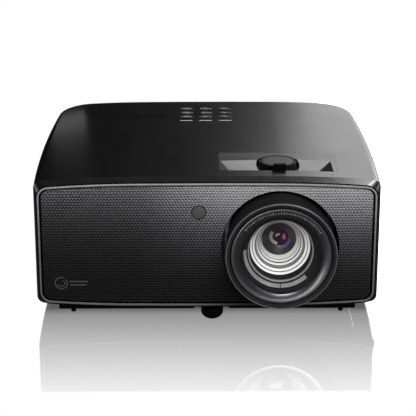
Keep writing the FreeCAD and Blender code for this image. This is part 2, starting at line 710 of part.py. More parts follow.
# --- light path ---------------------------------------------------------------------------------
def light_engine():
    """The housing behind the lens: a light-tight box with a port towards the lens."""
    outer = box(22.0, 110.0, 84.0, 150.0, 34.0, 114.0)
    inner = box(26.0, 106.0, 88.0, 146.0, 38.0, 110.0)
    port = rod(lens_x, lens_z, 24.0, 80.0, 90.0)
    inlet = rod(wheel_x, lens_z, 6.0, 140.0, 155.0)
    chip = cross_rod(117.0, lens_z, 14.0, 100.0, 115.0)
    legs = [post(x, d, 5.0, deck_z, 34.0) for x in (30.0, 102.0) for d in (92.0, 142.0)]
    return fuse([cut(outer, [inner, port, inlet, chip])] + legs)


def image_chip():
    """The image chip in its carrier, on the right of the housing."""
    carrier = box(110.0, 113.0, 99.0, 135.0, 57.0, 93.0)
    return fuse([carrier, cross_rod(117.0, lens_z, 13.6, 107.0, 110.0)])


def chip_heat_sink():
    """The finned block behind the chip."""
    base = box(113.0, 116.0, 97.0, 137.0, 55.0, 95.0)
    fins = [box(115.5, 122.0, 97.6 + i * 4.8, 99.0 + i * 4.8, 55.0, 95.0) for i in range(9)]
    return fuse([base] + fins)


def light_rod():
    """The square tube that evens the light out, between wheel and housing."""
    outer = box(wheel_x - 4.5, wheel_x + 4.5, 147.0, wheel_d - 2.0, lens_z - 4.5, lens_z + 4.5)
    inside = box(wheel_x - 3.0, wheel_x + 3.0, 140.0, wheel_d + 2.0, lens_z - 3.0, lens_z + 3.0)
    return outer.cut(inside).common(rod(wheel_x, lens_z, 5.8, 140.0, wheel_d + 2.0))


def phosphor_wheel():
    """The spinning disc, with a hub."""
    disc = rod(wheel_x, wheel_z, 30.0, wheel_d, wheel_d + 1.6)
    hub = rod(wheel_x, wheel_z, 9.0, wheel_d + 1.6, wheel_d + 6.0)
    return fuse([disc, hub]).cut(rod(wheel_x, wheel_z, bearing_radius + slack, 165, 180))


def wheel_motor():
    """The motor behind the disc, on a bracket that stands on the floor."""
    body = rod(wheel_x, wheel_z, 11.0, wheel_d + 6.6, wheel_d + 20.0)
    shaft = rod(wheel_x, wheel_z, bearing_radius, wheel_d - 1.0, wheel_d + 8.0)
    plate = box(wheel_x - 14.0, wheel_x + 14.0, wheel_d + 20.0, wheel_d + 23.0, deck_z, wheel_z + 14.0)
    foot_plate = box(wheel_x - 14.0, wheel_x + 14.0, wheel_d + 8.0, wheel_d + 23.0, deck_z,
                     deck_z + 2.8)
    return fuse([body, shaft, plate, foot_plate])


def laser_bank():
    """The laser diodes in their block."""
    block = box(62.0, 110.0, 196.0, 212.0, 50.0, 106.0)
    cans = [rod(x, z, 3.6, 190.0, 196.0) for x in (70.0, 80.0, 92.0, 102.0)
            for z in (58.0, 72.0, 86.0, 98.0)]
    legs = [box(x, x + 8.0, 197.0, 208.0, deck_z, 50.5) for x in (64.0, 100.0)]
    return fuse([block] + cans + legs)


def laser_heat_sink():
    """The big finned heat sink behind the lasers."""
    base = box(58.0, 114.0, 212.0, 217.0, 46.0, 112.0)
    fins = [box(58.0, 114.0, 216.5, 256.0, 58.0 + i * 5.0, 59.4 + i * 5.0) for i in range(11)]
    return fuse([base] + fins)


# --- fans ---------------------------------------------------------------------------------------
def fan_frame(side):
    """A square fan frame with corner lugs, struts and a motor cup, against a side grille."""
    d, z = fan_middle
    x0, x1 = sorted((side * fan_inner_x, side * (fan_inner_x + 22.0)))
    frame = box(x0, x1, d - fan_half, d + fan_half, z - fan_half, z + fan_half)
    ring = frame.cut(cross_rod(d, z, 37.5, x0 - 5, x1 + 5))
    s0, s1 = sorted((side * fan_inner_x, side * (fan_inner_x + 3.0)))
    hub = cross_rod(d, z, 15.0, s0, s1)
    reach = fan_half - 1.0
    struts = [box(s0, s1, d - 1.6, d + 1.6, z - reach, z + reach),
              box(s0, s1, d - reach, d + reach, z - 1.6, z + 1.6)]
    p0, p1 = sorted((side * fan_inner_x, side * (fan_inner_x + 16.0)))
    pin = cross_rod(d, z, bearing_radius, p0, p1)
    l0, l1 = sorted((side * fan_inner_x, side * (fan_inner_x + 8.0)))
    legs = [box(l0, l1, d + a - 4, d + a + 4, deck_z, z - fan_half + 0.5) for a in (-34, 34)]
    whole = fuse([ring, hub, pin] + struts + legs)
    holes = [cross_rod(d + a, z + b, 2.1, x0 - 5, x1 + 5) for a in (-36, 36) for b in (-36, 36)]
    return cut(whole, holes)


def fan_rotor(side):
    """A hub with seven swept blades."""
    d, z = fan_middle
    h0, h1 = sorted((side * (fan_inner_x + 3.6), side * (fan_inner_x + 18.0)))
    hub = cross_rod(d, z, 14.6, h0, h1)
    b0, b1 = sorted((side * (fan_inner_x + 6.0), side * (fan_inner_x + 16.0)))
    pieces = [hub]
    for i in range(7):
        blade = Part.makeBox(b1 - b0, 2.0, 22.4, Vector(b0, back(d) - 1.0, z + 13.6))
        blade.rotate(Vector((b0 + b1) / 2, back(d), z), Vector(0, 0, 1), side * 38.0)
        blade = blade.common(cross_rod(d, z, 36.3, b0, b1))
        blade.rotate(Vector(0, back(d), z), Vector(1, 0, 0), i * 360.0 / 7)
        pieces.append(blade)
    return fuse(pieces).cut(cross_rod(d, z, bearing_radius + slack, h0 - 5, h1 + 5))


# --- feet, pegs and fixings ---------------------------------------------------------------------
def foot(name):
    """One foot: a dished pad and its screw."""
    x, d = feet[name]
    top = front_foot_top if name == "front_foot" else rear_foot_top
    bowl = [(foot_pad * cos(radians(a)), 6.8 - 7.0 * sin(radians(a))) for a in range(0, 72, 9)]
    pad = spun([(0.0, 0.0), (3.4, 0.0)] + bowl[::-1] + [(foot_pad, top), (0.0, top)], x, d)
    return fuse([pad, post(x, d, foot_screw, top - 0.5, 32.0)])


def foot_bushes():
    """The brass bushes the foot screws turn in."""
    made = []
    for name, (x, d) in feet.items():
        low = floor_z + 1.0 if name == "front_foot" else plateau_z + 1.0
        made.append(tube_up(x, d, 4.2, foot_screw + slack, low, 34.0))
    return Part.makeCompound(made)


def corner_pegs():
    """The two small rubber pegs under the front corners."""
    made = []
    for x in (-peg_x, peg_x):
        profile = [(0.0, 5.9), (peg_radius - 0.7, 5.9), (peg_radius, 6.7), (peg_radius, plateau_z + 1.6),
                   (0.0, plateau_z + 1.6)]
        made.append(spun(profile, x, peg_d))
    return Part.makeCompound(made)


def mount_bushes():
    """Four threaded brass bushes for a ceiling bracket."""
    made = [tube_up(x, d, mount_radius, 2.0, plateau_z + 0.3, 24.0) for x in (-mount_x, mount_x)
            for d in mount_rows]
    return Part.makeCompound(made)


def case_screws():
    """Four screws that hold the case to the cover."""
    made = []
    for x, d in screw_places:
        head = spun([(0.0, 12.5), (3.0, 12.5), (3.0, plateau_z + 6.0), (0.0, plateau_z + 6.0)], x, d)
        shank = post(x, d, 1.25, plateau_z + 6.0, 40.0)
        drive = post(x, d, 1.2, 12.0, 14.0)
        made.append(fuse([head, shank]).cut(drive))
    return Part.makeCompound(made)


# --- everything ---------------------------------------------------------------------------------
os.makedirs(OUT, exist_ok=True)
casing = casing_shell()
save("top_cover", top_cover(casing))
save("bottom_case", bottom_case(casing))
save("front_bezel", front_bezel())
save("trim_ring", trim_ring())
save("front_panel", front_panel())
save("receiver_window", receiver_window())
save("roof_insert", roof_insert())
save("side_grille_left", side_grille(-1))
save("side_grille_right", side_grille(1))
save("rear_panel", rear_panel())
save("data_sockets", data_sockets())
save("network_socket", network_socket())
save("serial_socket", serial_socket())
save("sound_sockets", sound_sockets())
save("power_inlet", power_inlet())
for row, d in enumerate(key_rows):
    for column, x in enumerate(key_columns):
        save("key_%d" % (row * 3 + column + 1), key(x, d))
save("indicator_windows", indicator_windows())
save("key_board", key_board())
save("main_board", main_board())
save("power_board", power_board())
save("speaker", speaker())
save("focus_ring", focus_ring())
save("lens_barrel", lens_barrel())
save("front_ring", front_ring())
save("front_glass", front_glass())
save("baffle_rings", baffle_rings())
save("stop_glass", stop_glass())
save("rear_glass", rear_glass())
save("zoom_ring", zoom_ring())
save("zoom_cell", zoom_cell())
save("lens_carriage", lens_carriage())
save("carriage_guides", carriage_guides())
save("shift_dial", shift_dial())
save("light_engine", light_engine())
save("image_chip", image_chip())
save("chip_heat_sink", chip_heat_sink())
save("light_rod", light_rod())
save("phosphor_wheel", phosphor_wheel())
save("wheel_motor", wheel_motor())
save("laser_bank", laser_bank())
save("laser_heat_sink", laser_heat_sink())
for side, name in ((-1, "left"), (1, "right")):
    save("fan_frame_" + name, fan_frame(side))
    save("fan_rotor_" + name, fan_rotor(side))
for name in feet:
    save(name, foot(name))
save("foot_bushes", foot_bushes())
save("corner_pegs", corner_pegs())
save("mount_bushes", mount_bushes())
save("case_screws", case_screws())
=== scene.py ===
"""Looks of the home projector: materials for the CAD pieces, and finer meshes where the eye goes."""
import json
from math import cos, pi, radians, sin, sqrt

import bmesh
import bpy
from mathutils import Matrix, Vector

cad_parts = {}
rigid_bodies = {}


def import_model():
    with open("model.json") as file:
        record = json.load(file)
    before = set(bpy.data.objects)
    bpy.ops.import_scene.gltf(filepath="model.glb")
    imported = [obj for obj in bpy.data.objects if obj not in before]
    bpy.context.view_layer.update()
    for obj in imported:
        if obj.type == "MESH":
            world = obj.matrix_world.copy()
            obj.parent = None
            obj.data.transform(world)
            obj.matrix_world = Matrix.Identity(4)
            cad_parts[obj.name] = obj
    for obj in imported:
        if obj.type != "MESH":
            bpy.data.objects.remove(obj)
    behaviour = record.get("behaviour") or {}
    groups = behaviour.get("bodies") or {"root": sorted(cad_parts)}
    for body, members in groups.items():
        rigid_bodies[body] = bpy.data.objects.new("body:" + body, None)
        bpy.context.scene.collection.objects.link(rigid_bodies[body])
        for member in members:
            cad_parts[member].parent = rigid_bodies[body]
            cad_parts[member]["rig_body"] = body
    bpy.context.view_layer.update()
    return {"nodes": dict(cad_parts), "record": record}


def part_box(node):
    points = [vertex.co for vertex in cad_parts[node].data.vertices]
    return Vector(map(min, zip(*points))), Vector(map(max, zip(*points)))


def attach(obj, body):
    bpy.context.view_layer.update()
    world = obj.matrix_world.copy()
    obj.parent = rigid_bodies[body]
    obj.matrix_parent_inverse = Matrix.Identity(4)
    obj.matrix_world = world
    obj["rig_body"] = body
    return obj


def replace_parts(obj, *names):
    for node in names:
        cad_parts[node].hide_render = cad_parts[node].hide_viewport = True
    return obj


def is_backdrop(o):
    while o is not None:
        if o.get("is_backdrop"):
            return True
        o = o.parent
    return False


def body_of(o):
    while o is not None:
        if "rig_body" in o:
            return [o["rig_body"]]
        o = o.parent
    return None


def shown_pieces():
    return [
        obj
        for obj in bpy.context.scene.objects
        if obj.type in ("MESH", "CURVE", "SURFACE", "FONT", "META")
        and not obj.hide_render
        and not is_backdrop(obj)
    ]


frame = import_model()
nodes = frame["nodes"]
MM = 0.001

# --- places, worked out from the frame ----------------------------------------------------------
bezel_low, bezel_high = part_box("front_bezel")
face_y = bezel_low.y                                # the bezel's front
panel_low, panel_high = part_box("front_panel")
ring_low, ring_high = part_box("focus_ring")
lens_x = (ring_low.x + ring_high.x) / 2
lens_z = (ring_low.z + ring_high.z) / 2
ring_radius = (ring_high.x - ring_low.x) / 2
opening_radius = ring_radius + 3.7 * MM
window_low, window_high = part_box("receiver_window")
window_x = (window_low.x + window_high.x) / 2
window_z = (window_low.z + window_high.z) / 2
window_radius = 6.3 * MM


# --- node helpers -------------------------------------------------------------------------------
class Paint:
    """A material under construction: makes nodes and links them."""

    def __init__(self, name):
        self.material = bpy.data.materials.new(name)
        self.material.use_nodes = True
        self.tree = self.material.node_tree
        self.shader = self.tree.nodes["Principled BSDF"]

    def add(self, kind, **values):
        """A node with its properties and unlinked inputs set."""
        node = self.tree.nodes.new(kind)
        for key, value in values.items():
            if key in node.inputs:
                node.inputs[key].default_value = value
            else:
                setattr(node, key, value)
        return node

    def link(self, source, target):
        """Joins an output socket to an input socket."""
        self.tree.links.new(source, target)

    def set(self, **values):
        """Constant values on the shader's own sockets, spaces written as underscores."""
        for key, value in values.items():
            self.shader.inputs[key.replace("_", " ")].default_value = value

    def place(self):
        """Object coordinates, in metres."""
        return self.add("ShaderNodeTexCoord").outputs["Object"]

    def noise(self, scale, detail=3.0):
        """A noise value that varies over about 1 / scale metres."""
        node = self.add("ShaderNodeTexNoise", Scale=scale, Detail=detail)
        self.link(self.place(), node.inputs["Vector"])
        return node.outputs["Fac"]

    def spread(self, value, low, high):
        """Maps a noise value to a range."""
        node = self.add("ShaderNodeMapRange")
        node.inputs["From Min"].default_value = 0.3
        node.inputs["From Max"].default_value = 0.7
        node.inputs["To Min"].default_value = low
        node.inputs["To Max"].default_value = high
        self.link(value, node.inputs["Value"])
        return node.outputs["Result"]

    def tint(self, value, dark, light):
        """Base colour that moves between two colours with a noise value."""
        ramp = self.add("ShaderNodeValToRGB")
        ramp.color_ramp.elements[0].position = 0.3
        ramp.color_ramp.elements[0].color = (*dark, 1)
        ramp.color_ramp.elements[1].position = 0.7
        ramp.color_ramp.elements[1].color = (*light, 1)
        self.link(value, ramp.inputs["Fac"])
        self.link(ramp.outputs["Color"], self.shader.inputs["Base Color"])

    def rough(self, value, low, high):
        """Roughness that varies with a noise value."""
        self.link(self.spread(value, low, high), self.shader.inputs["Roughness"])

    def bump(self, value, height):
        """Fine relief, height in metres."""
        node = self.add("ShaderNodeBump", Distance=height)
        self.link(value, node.inputs["Height"])
        self.link(node.outputs["Normal"], self.shader.inputs["Normal"])


def moulded(name, dark, light, low, high, grain=2500.0, height=0.00001, specular=0.5):
    """Moulded plastic: even colour with a faint mottle and a fine spark-eroded grain."""
    paint = Paint(name)
    paint.tint(paint.noise(60.0), dark, light)
    paint.rough(paint.noise(25.0), low, high)
    paint.bump(paint.noise(grain), height)
    paint.set(Specular_IOR_Level=specular)
    return paint.material


def metal(name, dark, light, low, high, grain=900.0, height=0.000004):
    """Machined or cast metal with slight stains."""
    paint = Paint(name)
    paint.tint(paint.noise(80.0), dark, light)
    paint.rough(paint.noise(120.0), low, high)
    paint.bump(paint.noise(grain), height)
    paint.set(Metallic=1.0)
    return paint.material


def glass(name, colour, rough, shown):
    """Coated glass. What is behind it shows through, as far as shown leaves room."""
    paint = Paint(name)
    paint.tint(paint.noise(15.0), colour, tuple(min(1.0, c * 1.3) for c in colour))
    paint.set(Alpha=shown, Roughness=rough, Coat_Weight=0.6, Coat_Roughness=0.02)
    return paint.material


def lit(name, dark, light, glow):
    """Milky plastic with a lamp behind it."""
    paint = Paint(name)
    paint.tint(paint.noise(200.0), dark, light)
    paint.rough(paint.noise(90.0), 0.2, 0.3)
    paint.set(Emission_Color=(0.86, 0.84, 1.0, 1), Emission_Strength=glow)
    return paint.material


def board(name):
    """A lacquered circuit board with a faint trace pattern."""
    paint = Paint(name)
    cells = paint.add("ShaderNodeTexVoronoi", Scale=220.0, feature="DISTANCE_TO_EDGE")
    paint.link(paint.place(), cells.inputs["Vector"])
    paint.tint(cells.outputs["Distance"], (0.09, 0.22, 0.1), (0.02, 0.11, 0.04))
    paint.rough(paint.noise(80.0), 0.3, 0.45)
    return paint.material


looks = {
    "cover_black": moulded("cover_black", (0.0065, 0.0065, 0.007), (0.0085, 0.0085, 0.009), 0.27, 0.31),
    "bezel_black": moulded("bezel_black", (0.009, 0.009, 0.0095), (0.012, 0.012, 0.0125), 0.24, 0.28),
    "trim_line": moulded("trim_line", (0.42, 0.42, 0.43), (0.48, 0.48, 0.49), 0.28, 0.34, 3000.0, 0.000004),
    "panel_black": moulded("panel_black", (0.02, 0.02, 0.022), (0.026, 0.026, 0.028), 0.34, 0.4),
    "window_grey": moulded("window_grey", (0.016, 0.015, 0.014), (0.02, 0.019, 0.018), 0.26, 0.3,
                           specular=0.4),
    "insert_dark": moulded("insert_dark", (0.012, 0.012, 0.013), (0.016, 0.016, 0.017), 0.3, 0.36),
    "grille_black": moulded("grille_black", (0.008, 0.008, 0.008), (0.011, 0.011, 0.011), 0.4, 0.5),
    "ring_black": moulded("ring_black", (0.008, 0.008, 0.0082), (0.011, 0.011, 0.0112), 0.7, 0.8,
                          specular=0.1),
    "barrel_black": metal("barrel_black", (0.02, 0.02, 0.02), (0.03, 0.03, 0.03), 0.4, 0.5),
    "lens_glass": glass("lens_glass", (0.10, 0.08, 0.14), 0.03, 0.05),
    "stop_glass": glass("stop_glass", (0.005, 0.0026, 0.002), 0.5, 1.0),
    "baffle_silver": metal("baffle_silver", (0.62, 0.62, 0.6), (0.74, 0.74, 0.73), 0.22, 0.32),
    "key_black": moulded("key_black", (0.012, 0.012, 0.013), (0.015, 0.015, 0.016), 0.26, 0.32),
    "lamp_white": lit("lamp_white", (0.7, 0.7, 0.76), (0.76, 0.76, 0.82), 0.35),
    "dial_black": moulded("dial_black", (0.016, 0.016, 0.017), (0.02, 0.02, 0.021), 0.34, 0.4),
    "socket_black": moulded("socket_black", (0.01, 0.01, 0.01), (0.014, 0.014, 0.014), 0.4, 0.5),
    "socket_steel": metal("socket_steel", (0.55, 0.55, 0.55), (0.66, 0.66, 0.65), 0.25, 0.35),
    "sound_blue": moulded("sound_blue", (0.05, 0.16, 0.34), (0.06, 0.19, 0.4), 0.35, 0.45),
    "board_green": board("board_green"),
    "engine_metal": metal("engine_metal", (0.3, 0.3, 0.31), (0.4, 0.4, 0.41), 0.45, 0.6),
    "heat_sink": metal("heat_sink", (0.6, 0.61, 0.62), (0.7, 0.71, 0.72), 0.25, 0.35),
    "chip_ceramic": moulded("chip_ceramic", (0.2, 0.17, 0.15), (0.25, 0.22, 0.2), 0.4, 0.5),
    "wheel_disc": metal("wheel_disc", (0.75, 0.7, 0.42), (0.82, 0.79, 0.5), 0.08, 0.14),
    "steel": metal("steel", (0.5, 0.5, 0.5), (0.62, 0.62, 0.61), 0.2, 0.3),
    "laser_block": metal("laser_block", (0.42, 0.37, 0.28), (0.5, 0.45, 0.35), 0.3, 0.4),
    "fan_black": moulded("fan_black", (0.012, 0.012, 0.012), (0.016, 0.016, 0.016), 0.4, 0.5),
    "foot_rubber": moulded("foot_rubber", (0.01, 0.01, 0.01), (0.014, 0.014, 0.014), 0.5, 0.6),
    "brass": metal("brass", (0.6, 0.42, 0.17), (0.7, 0.5, 0.22), 0.25, 0.35),
    "screw_black": metal("screw_black", (0.05, 0.05, 0.05), (0.08, 0.08, 0.08), 0.3, 0.4),
    # looks of the pieces that only this script makes
    "ring_face": moulded("ring_face", (0.01, 0.0103, 0.0115), (0.013, 0.0134, 0.015), 0.24, 0.28),
    "print_grey": moulded("print_grey", (0.30, 0.30, 0.31), (0.34, 0.34, 0.35), 0.4, 0.5),
    # The next four looks dress the pupil: the gold, magenta and violet ones are painted reflections of the
    # lens coatings, the dark one is painted shade deep in the lens.
    "gold_painted_reflection": glass("gold_painted_reflection", (0.2, 0.178, 0.135), 0.34, 1.0),
    "pupil_painted_shade": glass("pupil_painted_shade", (0.02, 0.008, 0.02), 0.08, 1.0),
    "magenta_painted_reflection": glass("magenta_painted_reflection", (0.16, 0.028, 0.075), 0.34, 1.0),
    "violet_painted_reflection": glass("violet_painted_reflection", (0.05, 0.035, 0.15), 0.34, 1.0),
    "rim_grey": moulded("rim_grey", (0.07, 0.07, 0.075), (0.085, 0.085, 0.09), 0.25, 0.3),
    # A darker black for the dimples' steep rings and floors: painted shade.
    "dimple_painted_shade": moulded("dimple_painted_shade", (0.003, 0.003, 0.003), (0.005, 0.005, 0.005), 0.5, 0.6),
    "white_step": moulded("white_step", (0.74, 0.74, 0.71), (0.84, 0.84, 0.82), 0.2, 0.28),
    # Grey for steps inside the lens, and for the lip's lower arcs, where the grey is painted light.
    "grey_step_and_painted_lit_lip": moulded("grey_step_and_painted_lit_lip", (0.14, 0.14, 0.14), (0.2, 0.2, 0.2), 0.26, 0.34),
}

for part in frame["record"]["subparts"]:
    piece = nodes[part["node"]]
    piece.data.materials.clear()
    piece.data.materials.append(looks[part["material_slot"]])


# --- mesh helpers -------------------------------------------------------------------------------
def dress(obj, look, body="chassis", sharp=35.0):
    """Gives a new piece its finish, smooth shading and the body it rides on."""
    obj.data.materials.append(looks[look])
    mesh = obj.data
    for face in mesh.polygons:
        face.use_smooth = True
    mesh.set_sharp_from_angle(angle=radians(sharp))
    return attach(obj, body)


def from_bmesh(name, built):
    """A scene object from a finished bmesh."""
    mesh = bpy.data.meshes.new(name)
    built.to_mesh(mesh)
    built.free()
    obj = bpy.data.objects.new(name, mesh)
    bpy.context.scene.collection.objects.link(obj)
    return obj


def shell(built, near, far):
    """Adds a closed solid between two loops with the same number of vertices."""
    built.faces.new(near)
    built.faces.new(far[::-1])
    for i in range(len(near)):
        j = (i + 1) % len(near)
        built.faces.new((near[j], near[i], far[i], far[j]))


def as_piece(name, built, look, body="chassis", sharp=35.0, weld=False):
    """Turns a bmesh into a piece with its finish, its faces turned to agree with each other."""
    if weld:
        bmesh.ops.remove_doubles(built, verts=built.verts, dist=1e-7)
    bmesh.ops.recalc_face_normals(built, faces=built.faces)
    return dress(from_bmesh(name, built), look, body, sharp)


def lathe(name, profile, look, body="lens", start=0.0, sweep=360.0, sharp=28.0):
    """A closed profile turned about the lens axis, all round or over part of a turn. The profile is
    (radius, distance behind the face) in millimetres."""
    whole = sweep == 360.0
    turns = max(8, int(sweep / 2.25))
    built = bmesh.new()
    rings = []
    for step in range(turns if whole else turns + 1):
        angle = radians(start + sweep * step / turns)
        rings.append([built.verts.new((lens_x + r * MM * cos(angle), face_y + d * MM,
                                       lens_z + r * MM * sin(angle))) for r, d in profile])
    for here, after in zip(rings, rings[1:] + rings[:1]):
        if not whole and after is rings[0]:
            break
        for i in range(len(profile)):
            j = (i + 1) % len(profile)
            built.faces.new((here[i], here[j], after[j], after[i]))
    if not whole:
        built.faces.new(rings[0])
        built.faces.new(rings[-1][::-1])
    return as_piece(name, built, look, body, sharp, weld=True)


def prism(built, points, low, high, up=True):
    """Adds a thin plate: a polygon in the roof plane (x, y) or, when not up, in the face plane (x, z)."""
    def vert(p, level):
        return built.verts.new((p[0], p[1], level) if up else (p[0], level, p[1]))
    near = [vert(p, low) for p in points]
    far = [vert(p, high) for p in points]
    shell(built, near, far)


def oblong(x, y, half_x, half_y):
    """Corners of an upright rectangle."""
    return [(x - half_x, y - half_y), (x + half_x, y - half_y), (x + half_x, y + half_y),
            (x - half_x, y + half_y)]


def polygon(x, y, radius, count, turn=0.0):
    """Corners of a regular polygon."""
    return [(x + radius * cos(turn + 2 * pi * i / count), y + radius * sin(turn + 2 * pi * i / count))
            for i in range(count)]


def band(built, x, y, outer, inner, start, end, low, high, up=True, count=32):
    """Adds part of a thin flat ring, from one angle to another."""
    for i in range(count):
        a = start + (end - start) * i / count
        b = start + (end - start) * (i + 1) / count
        corners = [(x + r * cos(t), y + r * sin(t))
                   for r, t in ((inner, a), (outer, a), (outer, b), (inner, b))]
        prism(built, corners, low, high, up)


# --- front panel --------------------------------------------------------------------------------
roof_z = 140 * MM           # height of the roof in the middle
flat_half = 70 * MM         # half the width of the roof's flatter middle
crown_radius = 8.0          # metres, over the middle
shoulder_radius = 1.1       # metres, beyond it


def crown_drop(x):
    """How far the roof and the panel's edges have fallen at this x."""
    out = max(0.0, abs(x) - flat_half)
    middle = min(abs(x), flat_half)
    slope = out * flat_half / crown_radius
    return middle ** 2 / (2 * crown_radius) + slope + out ** 2 / (2 * shoulder_radius)


dimple_pitch = 2.93 * MM
dimple_rings = ((1.20 * MM, 0.06 * MM), (0.92 * MM, 0.32 * MM))     # radius and depth
dimple_depth = 0.44 * MM
panel_lift = 0.5 * MM       # how far the dimpled sheet stands in front of the CAD panel
panel_corner = 6.9 * MM
panel_half = panel_high.x - 0.1 * MM
panel_middle = (panel_high.z + panel_low.z) / 2
panel_tall = (panel_high.z - panel_low.z) / 2 - 0.1 * MM
round_centre = panel_tall - crown_drop(panel_half - panel_corner) - panel_corner
panel_holes = ((lens_x, lens_z, opening_radius), (window_x, window_z, window_radius + 0.3 * MM))


def past_corner(x, z):
    """How far a point lies beyond the centre of the nearest rounded corner, along and up."""
    return abs(x) - (panel_half - panel_corner), abs(z - panel_middle) - round_centre


def on_panel(x, z):
    """Whether a point lies on the panel's outline or inside it, and outside its two holes."""
    if any((x - cx) ** 2 + (z - cz) ** 2 < radius ** 2 for cx, cz, radius in panel_holes):
        return False
    across, above = past_corner(x, z)
    if across > 0 and above > 0:
        return across ** 2 + above ** 2 <= panel_corner ** 2
    return abs(x) <= panel_half and abs(z - panel_middle) <= panel_tall - crown_drop(x)


def settle(x, z):
    """Moves a point that is off the panel to the panel's nearest edge."""
    for cx, cz, radius in panel_holes:
        dx, dz = x - cx, z - cz
        far = sqrt(dx * dx + dz * dz)
        if 0 < far < radius:
            x, z = cx + dx * radius / far, cz + dz * radius / far
    side = 1 if x > 0 else -1
    over = 1 if z > panel_middle else -1
    across, above = past_corner(x, z)
    if across > 0 and above > 0 and across ** 2 + above ** 2 > panel_corner ** 2:
        shrink = panel_corner / sqrt(across ** 2 + above ** 2)
        across, above = across * shrink, above * shrink
        return side * (panel_half - panel_corner + across), panel_middle + over * (round_centre + above)
    x = side * min(abs(x), panel_half)
    return x, panel_middle + over * min(abs(z - panel_middle), panel_tall - crown_drop(x))


def hexagon(x, z, radius):
    """Corners of one cell of the lattice, or of a ring inside it."""
    return [(x + radius * cos(radians(30 + 60 * i)), z + radius * sin(radians(30 + 60 * i)))
            for i in range(6)]


def dimple(built, known, x, z):
    """One dimple: a flat edge, a steep ring and a shallow floor, the ring and the floor in a darker black
    as painted shade. Cells share their corners.
    """
    def point(px, pz, depth):
        key = (round(px * 2e5), round(pz * 2e5))
        if key not in known:
            at_x, at_z = settle(px, pz)
            known[key] = built.verts.new((at_x, panel_low.y - panel_lift + depth, at_z))
        return known[key]

    loops = [[point(px, pz, 0.0) for px, pz in hexagon(x, z, dimple_pitch / sqrt(3))]]
    for radius, depth in dimple_rings:
        loops.append([point(px, pz, depth) for px, pz in hexagon(x, z, radius)])
    bottom = point(x, z, dimple_depth)
    # The steep ring and the floor take the second, darker material: painted shade in the dimple.
    for outer, inner in zip(loops, loops[1:]):
        for i in range(6):
            j = (i + 1) % 6
            if len({outer[i], outer[j], inner[j], inner[i]}) == 4:
                face = built.faces.new((outer[i], outer[j], inner[j], inner[i]))
                face.material_index = 1 if outer is loops[1] else 0
    for i in range(6):
        j = (i + 1) % 6
        if len({loops[2][i], loops[2][j], bottom}) == 3:
            built.faces.new((loops[2][i], loops[2][j], bottom)).material_index = 1


def panel_relief():
    """The fine lattice of round dimples over the whole front panel, with painted shade in each dimple."""
    rise = dimple_pitch * sqrt(3) / 2
    rows = int(panel_tall / rise) + 2
    columns = int(panel_half / dimple_pitch) + 2
    built = bmesh.new()
    known = {}
    for row in range(-rows, rows + 1):
        z = panel_middle + row * rise
        for column in range(-columns, columns + 1):
            x = (column + (0.5 if row % 2 else 0.0)) * dimple_pitch
            if any(on_panel(px, pz) for px, pz in hexagon(x, z, dimple_pitch / sqrt(3)) + [(x, z)]):
                dimple(built, known, x, z)
    bmesh.ops.remove_doubles(built, verts=built.verts, dist=2e-6)
    bmesh.ops.dissolve_degenerate(built, edges=built.edges, dist=2e-6)
    rim = [e for e in built.edges if e.is_boundary]
    walls = bmesh.ops.extrude_edge_only(built, edges=rim)
    for item in walls["geom"]:
        if isinstance(item, bmesh.types.BMVert):
            item.co.y = panel_low.y + 0.05 * MM
    relief = as_piece("panel_relief", built, "panel_black", sharp=180.0)
    # The second material: the darker black of painted shade in the dimples.
    relief.data.materials.append(looks["dimple_painted_shade"])


# --- lens ---------------------------------------------------------------------------------------
def focus_grip():
    """The focus ring: smooth front rim, a band of fine ribs, plain skirt."""
    profile = [(45.9, -13.9), (45.9, -23.4), (46.6, -24.6), (47.4, -25.3), (47.7, -25.4), (49.0, -25.4),
               (49.5, -25.2), (49.8, -24.6), (49.8, -22.0), (49.5, -21.6), (48.9, -21.4), (48.9, -6.4),
               (49.3, -6.0), (49.3, -4.4), (48.8, -4.0), (48.6, 10.0), (47.0, 12.0), (41.05, 12.0),
               (41.05, -13.7)]
    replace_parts(lathe("focus_grip", profile, "ring_black", "focus"), "focus_ring")
    rib_count = 144
    rib_top, rib_foot = 49.65 * MM, 48.6 * MM
    rib_ends = (-21.2 * MM, -6.6 * MM)
    quarter = 2 * pi / rib_count * 0.28
    corners = ((rib_foot, -quarter * 1.5), (rib_top, -quarter * 0.7),
               (rib_top, quarter * 0.7), (rib_foot, quarter * 1.5))
    built = bmesh.new()
    for i in range(rib_count):
        a = 2 * pi * i / rib_count
        near, far = [[built.verts.new((lens_x + r * cos(a + t), face_y + end, lens_z + r * sin(a + t)))
                      for r, t in corners] for end in rib_ends]
        shell(built, near, far)
    as_piece("focus_ribs", built, "ring_black", "focus")
    rim = [(49.0, -25.35), (49.3, -25.65), (49.8, -25.3), (50.0, -24.8), (49.75, -24.6), (49.0, -25.0)]
    lathe("rim_line", rim, "rim_grey", "focus")


def front_rings():
    """The dark cone inside the focus ring, and the lip behind it, its lower arcs grey as painted light."""
    plate = [(45.4, -22.4), (45.2, -24.0), (44.6, -24.7), (43.8, -24.8), (37.2, -22.9), (36.6, -22.4),
             (36.3, -19.4), (36.1, -14.6), (45.4, -14.6)]
    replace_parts(lathe("front_plate", plate, "ring_face"), "front_ring")
    lathe("plate_step", [(36.0, -18.6), (34.4, -16.8), (33.7, -14.6), (36.0, -14.6)], "ring_black")
    lip = [(36.0, -14.3), (34.0, -14.3), (33.4, -13.6), (31.2, -11.9), (31.0, -11.5), (36.0, -11.5)]
    # The lower arcs are grey as painted light where light falls on the lip; the notch and the top keep the
    # plain black.
    arcs = (("lip_painted_light_left", "grey_step_and_painted_lit_lip", 176.0, 93.4), ("lip_painted_light_right", "grey_step_and_painted_lit_lip", 270.6, 44.0),
            ("lip_notch", "ring_black", 314.6, 14.0), ("lip_top", "ring_black", 328.6, 207.4))
    for name, look, start, sweep in arcs:
        lathe(name, lip, look, start=start, sweep=sweep)


